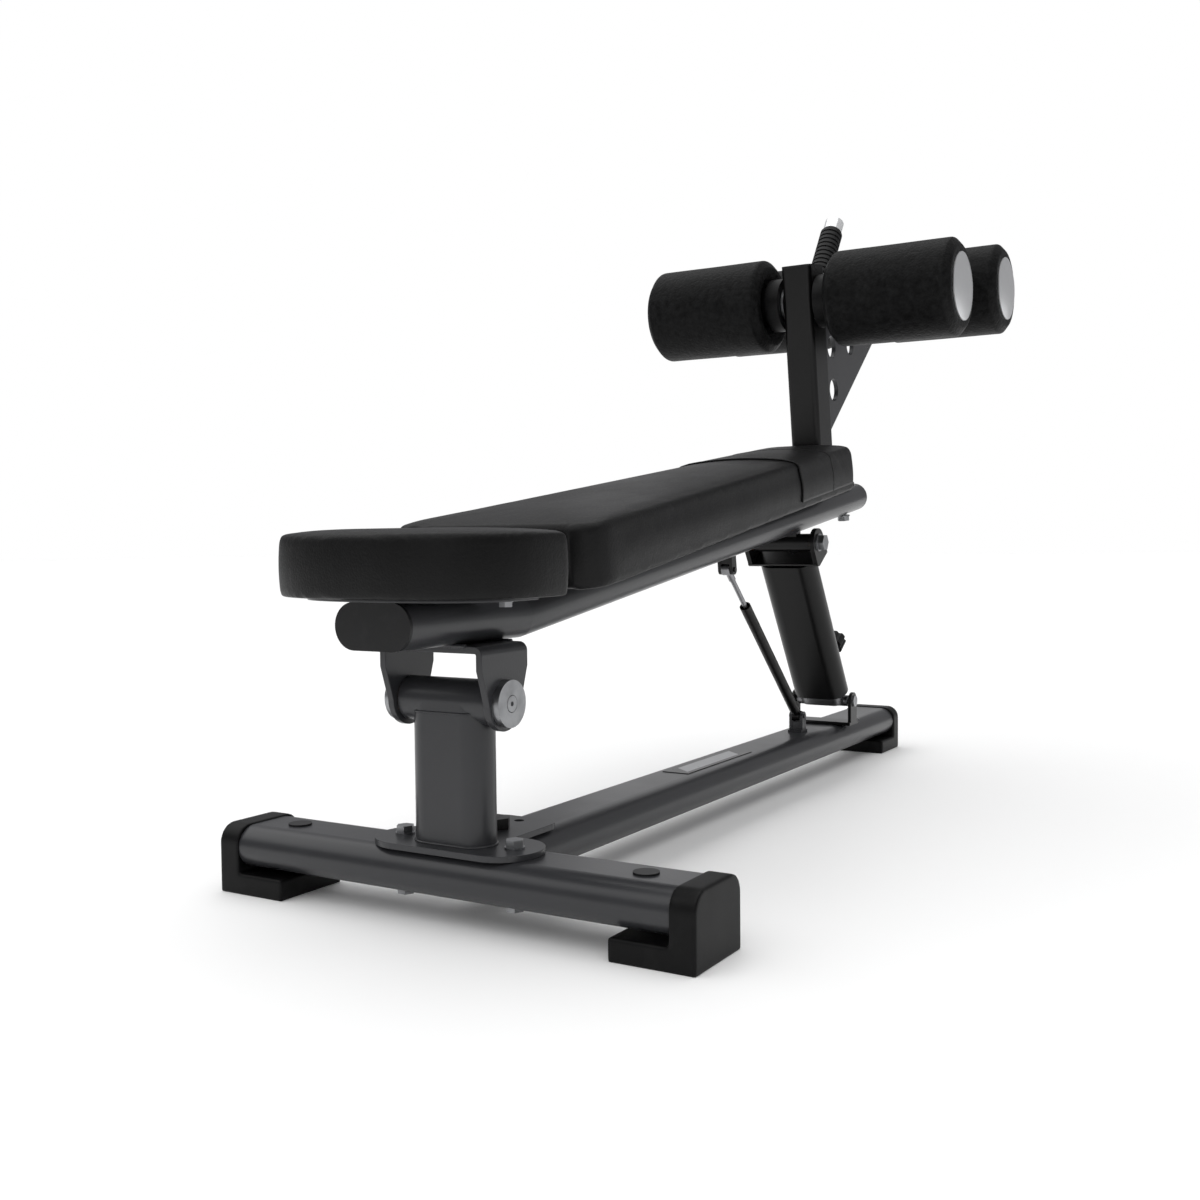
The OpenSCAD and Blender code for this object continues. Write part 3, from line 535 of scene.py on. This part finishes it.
def bare_metal(name, colour, rough, tarnish=0.12, marks=0.00003, spots=0.6, metallic=1.0):
    metal = Finish(name)
    streak = metal.noise(350.0, 2.0, at=metal.place((1.0, 1.0, 0.15)))
    stain = metal.between(metal.noise(38.0, 4.0), 0.42, 0.72)
    stained = tuple(c * 0.62 for c in colour)
    return metal.wear(Base_Color=metal.mix(stain * spots, colour, stained), Metallic=metallic,
                      Roughness=rough + tarnish * stain, Normal=metal.bump(streak, marks, 0.5))


dress(bare_metal("zinc_plate", (0.33, 0.335, 0.345), 0.34), "plate_bolts", "pivot_shaft", "pivot_discs",
      "head_bolts", "pad_bolts", "column_bolts", "roller_axles", "axle_collars", "leg_bolt", "lower_pin",
      "pin_plunger")
dress(bare_metal("black_steel", (0.035, 0.034, 0.034), 0.36), "tongue_bolt", "pin_housing", "strut_cylinder")
dress(bare_metal("chrome", (0.86, 0.865, 0.875), 0.16, 0.03, 0.00001, 0.1, 0.5), "handle_bar")
dress(bare_metal("bronze", (0.62, 0.26, 0.08), 0.34), "pivot_bushes", "thrust_washers")
dress(bare_metal("bright_steel", (0.3, 0.3, 0.31), 0.34), "leg_inner", "leg_foot", "strut_rod")
dress(bare_metal("satin_silver", (0.74, 0.745, 0.755), 0.3, 0.03, 0.000002, 0.08, 0.88), *roller_parts("caps"))


# ---- Pad boards ---------------------------------------------------------------------
# Black-stained plywood under the main pad, bolted through straps to the rail. Its plies
# show as faint bands on the edges.

board = Finish("stained_plywood")
fibre = board.noise(26.0, 5.0, 0.6, board.place((14.0, 1.0, 14.0)))
ply = board.node("ShaderNodeTexWave", {"bands_direction": "Z"},
                 {"Vector": board.place(), "Scale": 90.0, "Distortion": 0.4})
wood = board.mix(board.between(fibre, 0.3, 0.75), (0.014, 0.013, 0.012), (0.007, 0.0065, 0.006))
dress(board.wear(Base_Color=board.mix(ply * 0.18, wood, (0.02, 0.016, 0.012)), Roughness=0.62,
                 Normal=board.bump(fibre, 0.0002, 0.5)), "pad_board")


# ---- Head pad -----------------------------------------------------------------------
# A D-shaped block of firm foam on a steel plate, wrapped in one piece of black vinyl that is
# drawn tight over a small edge roll and creases a little round the bow.

PROUD = 0.005                 # how far the pads' foam bulges past its board
BOARD_EDGE, SIDE_BULGE = 0.004, 0.0014
SWELL_PRESSURE, SWELL_CAP, SWELL_FRAMES = 2.0, 0.0016, 20
FOAM_STRETCH, FOAM_BENDING = 60, 30
HEAD_EDGE, HEAD_CROWN, HEAD_VOXEL, HEAD_HELD = 0.008, 0.003, 0.0045, 0.012
HEAD_STRAIGHT, HEAD_CORNER, BOW_POWER = 0.03, 0.012, 2 / 2.6


def vinyl(name, colour, rough, crease_at):
    hide = Finish(name)
    pebble = hide.cells(430.0, hide.shaken(hide.place(), 160.0, 0.004))
    pores = hide.noise(1900.0, 2.0)
    crease = hide.between(hide.noise(31.0, 3.0, 0.5, hide.place(crease_at)), 0.3, 0.7)
    cloud = hide.noise(9.0, 3.0)
    rubbed = hide.between(hide.noise(24.0, 4.0), 0.45, 0.8)
    grained = hide.bump(1.0 - pebble, 0.00042, 0.42, hide.bump(crease, 0.0012, 0.3))
    light = tuple(c * 1.7 for c in colour)
    return hide.wear(Base_Color=hide.mix(rubbed * 0.6, colour, light), Specular_IOR_Level=0.2,
                     Roughness=rough + 0.14 * cloud - 0.08 * pebble,
                     Normal=hide.bump(pores, 0.00006, 0.5, grained))


def rounded_block(outline, middle, low, high, edge, crown):
    """A closed block: going up, each row of points is the outline drawn in along its own normal round a
    small bottom edge, up the side with a slight bulge, round the top edge, then towards the middle line
    while the height rises to the crown as one minus the square of what is left of the way."""
    ahead = np.roll(outline, -1, 0) - np.roll(outline, 1, 0)
    normal = np.stack([ahead[:, 1], -ahead[:, 0]], 1)
    normal /= np.linalg.norm(normal, axis=1)[:, None]
    rows = []

    def add_row(flat, level):
        rows.append(np.c_[flat, np.full(len(outline), level)])

    for share in np.linspace(0, 1, 7)[:-1]:
        add_row(middle + (outline - BOARD_EDGE * normal - middle) * share, low)
    for angle in np.linspace(0, np.pi / 2, 5):
        add_row(outline - BOARD_EDGE * (1 - math.sin(angle)) * normal, low + BOARD_EDGE * (1 - math.cos(angle)))
    for share in np.linspace(0, 1, 14)[1:-1]:
        add_row(outline + SIDE_BULGE * math.sin(math.pi * share) * normal,
                low + BOARD_EDGE + (high - edge - low - BOARD_EDGE) * share)
    for angle in np.linspace(0, np.pi / 2, 8):
        add_row(outline - edge * (1 - math.cos(angle)) * normal, high - edge * (1 - math.sin(angle)))
    inner = outline - edge * normal
    for share in np.linspace(0, 1, 26)[1:]:
        add_row(inner + (middle - inner) * share, high + crown * (1 - (1 - share) ** 2))
    return np.array(rows)


def points_of(mesh):
    """The mesh's points as rows of x, y and z."""
    flat = np.zeros(len(mesh.vertices) * 3, np.float32)
    mesh.vertices.foreach_get("co", flat)
    return flat.reshape(-1, 3).astype(float)


def move_points(mesh, points):
    mesh.vertices.foreach_set("co", points.astype(np.float32).ravel())
    mesh.update()


def swell(made, voxel, held_below):
    """Remeshes the pad, lets pressure fill it while its lowest part is held to its board, and keeps each
    point within the cap of where it started, then applies it and smooths it once."""
    applied(made, "REMESH", mode="VOXEL", voxel_size=voxel)
    mesh = made.data
    start = points_of(mesh)
    held = made.vertex_groups.new(name="board")
    held.add(np.nonzero(start[:, 2] < held_below)[0].tolist(), 1.0, "REPLACE")
    cloth = made.modifiers.new("cloth", "CLOTH")
    foam = cloth.settings
    foam.use_pressure, foam.uniform_pressure_force = True, SWELL_PRESSURE
    foam.effector_weights.gravity = 0
    foam.vertex_group_mass = "board"
    foam.tension_stiffness = foam.compression_stiffness = FOAM_STRETCH
    foam.bending_stiffness = FOAM_BENDING
    cloth.point_cache.frame_start, cloth.point_cache.frame_end = 1, SWELL_FRAMES
    for step in range(1, SWELL_FRAMES + 1):
        bpy.context.scene.frame_set(step)
    filled = points_of(made.evaluated_get(bpy.context.evaluated_depsgraph_get()).data)
    made.modifiers.remove(cloth)
    made.vertex_groups.clear()
    bpy.context.scene.frame_set(1)
    moved = filled - start
    far = np.maximum(np.linalg.norm(moved, axis=1), 1e-9)
    moved *= (SWELL_CAP * np.tanh(far / SWELL_CAP) / far)[:, None]
    move_points(mesh, start + moved)
    applied(made, "SUBSURF", levels=1, render_levels=1)
    shade_smooth(mesh)


head_low, head_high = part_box("head_pad")
half_w, deep = (head_high.x - head_low.x) / 2 + PROUD, head_high.y - head_low.y + 2 * PROUD
turn = np.linspace(0, np.pi, 90)
bow_x = half_w * np.sign(np.cos(turn)) * np.abs(np.cos(turn)) ** BOW_POWER
bow_y = head_high.y + PROUD - HEAD_STRAIGHT - (deep - HEAD_STRAIGHT) * np.sin(turn) ** BOW_POWER
back_x = np.linspace(-half_w + HEAD_CORNER, half_w - HEAD_CORNER, 40)
corner = np.linspace(0, np.pi / 2, 7)[1:-1]
left_corner = np.stack([-half_w + HEAD_CORNER - HEAD_CORNER * np.cos(corner),
                        head_high.y + PROUD - HEAD_CORNER + HEAD_CORNER * np.sin(corner)], 1)
right_corner = left_corner[::-1] * (-1, 1)
head_outline = np.concatenate([np.stack([bow_x, bow_y], 1), left_corner,
                               np.stack([back_x, np.full(40, head_high.y + PROUD)], 1), right_corner])[::-1]
head_middle = np.stack([np.clip(head_outline[:, 0], -0.06, 0.06) * 0.9,
                        np.full(len(head_outline), (head_low.y + head_high.y) / 2 + 0.01)], 1)
head_block = rounded_block(head_outline, head_middle, head_low.z + 0.0006, head_high.z - 0.001, HEAD_EDGE,
                           HEAD_CROWN)
head_vinyl = vinyl("head_vinyl", (0.0026, 0.0026, 0.0027), 0.42, (1.0, 1.0, 0.3))
head_pad = piece("head_pad_cover", head_block, head_vinyl, "bench", closed_u=False)
swell(head_pad, HEAD_VOXEL, head_low.z + HEAD_HELD)
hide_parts("head_pad")


# ---- Main pad -----------------------------------------------------------------------
# One long block of firm foam on plywood, wide at the head end and narrow at the foot end,
# in the same vinyl, a little greyer where backs have polished it.

PAD_L, PAD_HEAD_W, PAD_FOOT_W, PAD_LOW_N, PAD_T = 0.962, 0.284, 0.168, 0.031, 0.076
PAD_TAPER = (PAD_HEAD_W - PAD_FOOT_W) / 2 / PAD_L
WIDE_CORNER, TIGHT_CORNER = 0.034, 0.012
PAD_EDGE, PAD_CROWN, PAD_VOXEL, PAD_HELD = 0.009, 0.007, 0.005, 0.014


def pad_outline(inset):
    """The trapezoid's outline: straight tapering sides, wide corners at the head end, tight ones at the
    foot end, laid out as x against the way along the rail."""
    wide = PAD_HEAD_W / 2 - inset
    big, small = WIDE_CORNER, TIGHT_CORNER
    side_s = np.linspace(big, PAD_L - small, 150)
    side_x = wide - PAD_TAPER * side_s
    arc = np.linspace(0, np.pi / 2, 16)[1:-1]
    near = np.stack([wide - PAD_TAPER * big - big + big * np.sin(arc),
                     inset + big - (big - inset) * np.cos(arc)], 1)
    far = np.stack([side_x[-1] - small + small * np.cos(arc),
                    PAD_L - small + (small - inset) * np.sin(arc)], 1)
    head = np.stack([np.linspace(0, near[0, 0], 20)[:-1], np.full(19, inset)], 1)
    foot = np.stack([np.linspace(far[-1, 0], 0, 14)[1:], np.full(13, PAD_L - inset)], 1)
    half = np.concatenate([head, near, np.stack([side_x, side_s], 1), far, foot])
    return np.concatenate([half, half[-2:0:-1] * (-1, 1)])


main_outline = pad_outline(-PROUD)
main_middle = np.stack([np.zeros(len(main_outline)), np.clip(main_outline[:, 1], 0.11, PAD_L - 0.075)], 1)
main_block = rounded_block(main_outline, main_middle, PAD_LOW_N + 0.0004, PAD_LOW_N + PAD_T - 0.001,
                           PAD_EDGE, PAD_CROWN)
main_vinyl = vinyl("main_vinyl", (0.0045, 0.0045, 0.0047), 0.44, (1.0, 0.4, 0.4))
main_pad = piece("main_pad_cover", main_block, main_vinyl, "bench", closed_u=False)
swell(main_pad, PAD_VOXEL, PAD_LOW_N + PAD_HELD)
# Made level, with Y along the rail and Z square to it, the pad now goes to its place on the rail.
move_points(main_pad.data, rail_point(*points_of(main_pad.data).T))
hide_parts("main_pad")


# ---- Wear cover ---------------------------------------------------------------------
# A second sheet of vinyl stretched over the pad's foot end where heels and hips rub, drawn
# down both sides to the board, with a folded front hem and one sewn seam.

COVER_FROM, COVER_TO, COVER_T, COVER_DOWN = 0.677, 0.948, 0.0015, 0.07
COVER_ROUND, COVER_OFF = 0.011, 0.0008
FLAT_COLUMNS, SIDE_COLUMNS = 41, 15
SEAM_S = 0.835

cover_s = np.linspace(COVER_FROM, COVER_TO, 70)
cover_half = PAD_HEAD_W / 2 - PAD_TAPER * cover_s
straight = cover_half[:, None] - COVER_ROUND
top_n = PAD_LOW_N + PAD_T
arc = np.linspace(0, np.pi / 2, 8)[1:]
right_x = np.concatenate([straight + COVER_ROUND * np.sin(arc),
                          np.repeat(cover_half[:, None], SIDE_COLUMNS, 1)], 1)
right_n = np.concatenate([top_n - COVER_ROUND + COVER_ROUND * np.cos(arc),
                          np.linspace(top_n - COVER_ROUND, PAD_LOW_N + 0.002, SIDE_COLUMNS + 1)[1:]])
all_x = np.concatenate([-right_x[:, ::-1], np.linspace(-1, 1, FLAT_COLUMNS)[None, :] * straight, right_x], 1)
all_n = np.concatenate([right_n[::-1], np.full(FLAT_COLUMNS, top_n), right_n])
cover_vinyl = vinyl("cover_vinyl", (0.0045, 0.0045, 0.0047), 0.42, (1.0, 0.4, 0.4))
# The sheet starts a little wide of the pad and above it, so that it shrinks on from outside.
loose = rail_point(all_x * 1.03, cover_s[:, None], all_n[None, :] + 0.012)
cover = piece("wear_cover_sheet", loose, cover_vinyl, "bench", closed_u=False, closed_v=False)
applied(cover, "SHRINKWRAP", target=main_pad, wrap_method="NEAREST_SURFACEPOINT", wrap_mode="ABOVE_SURFACE",
        offset=COVER_OFF)
laid = points_of(cover.data).reshape(*all_x.shape, 3)
applied(cover, "SOLIDIFY", thickness=COVER_T, offset=1.0)
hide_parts("wear_cover")


def raised(row, height):
    """One row of the cover's points moved out from the pad, square to the row and to the rail."""
    line = laid[row]
    out = np.cross(np.gradient(line, axis=0), rail_point(0.0, 1.0, 0.0) - rail_point(0.0, 0.0, 0.0))
    out /= np.linalg.norm(out, axis=1)[:, None]
    out *= np.sign(out[len(out) // 2, 2])
    return line + height * out


hem = weld_bead("cover_front_hem", raised(0, 0.0008), "bench", cover_vinyl, 0.0013, closed=False, ripple=0.0)
seam_row = int(np.argmin(np.abs(cover_s - SEAM_S)))
seam = weld_bead("cover_seam", raised(seam_row, 0.0014), "bench", cover_vinyl, 0.0006, closed=False, ripple=0.3)


# ---- Roller foam --------------------------------------------------------------------
# Four sleeves of moulded closed-cell foam with a tough grained skin, their ends bevelled,
# pushed on a plastic core that turns on the axle.

ROLLER_S = {"near": 1.003, "far": 1.295}
ROLLER_N, ROLLER_R, ROLLER_IN, ROLLER_OUT, BORE_R = 0.359, 0.081, 0.058, 0.278, 0.0342
HUB_DEEP, HUB_STEP, HUB_WIDE, CAP_DEEP = 0.012, 0.014, 0.022, 0.02
BEVEL_LONG, BEVEL_HIGH, BEVEL_ROUND = 0.011, 0.013, 0.0035
FOAM_STEP, FOAM_SIDES, FOAM_WOBBLE = 0.006, 120, 0.0012


def turned(profile, s, n, way):
    """The profile of (way out from the middle, radius) turned about an axle across the bench, with a
    slight unevenness that goes round and along as two sines."""
    out, radius = profile.T[:, :, None]
    angle = np.linspace(0, 2 * np.pi, FOAM_SIDES, endpoint=False)[None, :]
    uneven = 1 + FOAM_WOBBLE * (np.sin(3 * angle + 31 * out) + 0.6 * np.sin(5 * angle - 47 * out))
    r = radius * uneven
    return rail_point(way * out + 0 * r, s + r * np.sin(angle), n + r * np.cos(angle))


def rounded(points, radius):
    """A profile whose corners are each swapped for a short curve, quadratic from one side to the other."""
    points = np.asarray(points, float)
    t = np.linspace(0, 1, 5)[:, None]
    out = [points[:1]]
    for before, corner, after in zip(points[:-2], points[1:-1], points[2:]):
        reach_in = min(radius, np.linalg.norm(before - corner) * 0.45)
        reach_out = min(radius, np.linalg.norm(after - corner) * 0.45)
        start = corner + (before - corner) / np.linalg.norm(before - corner) * reach_in
        stop = corner + (after - corner) / np.linalg.norm(after - corner) * reach_out
        out.append((1 - t) ** 2 * start + 2 * t * (1 - t) * corner + t ** 2 * stop)
    out.append(points[-1:])
    return np.concatenate(out)


def filled_in(points, step):
    """The profile with points added on its long stretches, none further apart than about the step."""
    out = [points[:1]]
    for first, second in zip(points[:-1], points[1:]):
        count = max(1, int(np.linalg.norm(second - first) / step))
        out.append(first + (second - first) * np.linspace(0, 1, count + 1)[1:, None])
    return np.concatenate(out)


skin = Finish("roller_skin")
grain = skin.cells(260.0, skin.shaken(skin.place(), 120.0, 0.007))
patch = skin.noise(105.0, 5.0, 0.6)
pit = skin.noise(900.0, 2.0)
mottle = skin.between(patch, 0.35, 0.7) * 0.7
dented = skin.bump(1.0 - grain, 0.0008, 0.6, skin.bump(patch, 0.0022, 0.6))
skin.wear(Base_Color=skin.mix(mottle, (0.003, 0.003, 0.0031), (0.013, 0.0132, 0.0135)),
          Roughness=0.42 + 0.2 * patch - 0.08 * grain, Specular_IOR_Level=0.08,
          Normal=skin.bump(pit, 0.0001, 0.5, dented))

foam_profile = filled_in(rounded([
    (ROLLER_IN + HUB_DEEP, BORE_R), (ROLLER_IN + HUB_DEEP, BORE_R + HUB_STEP), (ROLLER_IN, BORE_R + HUB_WIDE),
    (ROLLER_IN, ROLLER_R - BEVEL_HIGH), (ROLLER_IN + BEVEL_LONG, ROLLER_R),
    (ROLLER_OUT - BEVEL_LONG, ROLLER_R), (ROLLER_OUT, ROLLER_R - BEVEL_HIGH),
    (ROLLER_OUT, BORE_R), (ROLLER_OUT - CAP_DEEP, BORE_R)], BEVEL_ROUND), FOAM_STEP)
for row, s in ROLLER_S.items():
    for side, way in SIDES.items():
        foam = piece(f"roller_foam_{row}_{side}", turned(foam_profile, s, ROLLER_N, way), skin.material,
                     f"roller_{row}_{side}")
        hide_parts(f"foam_{row}_{side}")


# ---- Handle grip --------------------------------------------------------------------
# A ribbed rubber sleeve pushed on the bright grab bar, its ribs moulded in. The skin is
# duller and a little greyer than the feet's.

dress(moulded("grip_rubber", (0.009, 0.009, 0.0095), 0.48, 1200.0, 0.0002), "handle_grip")
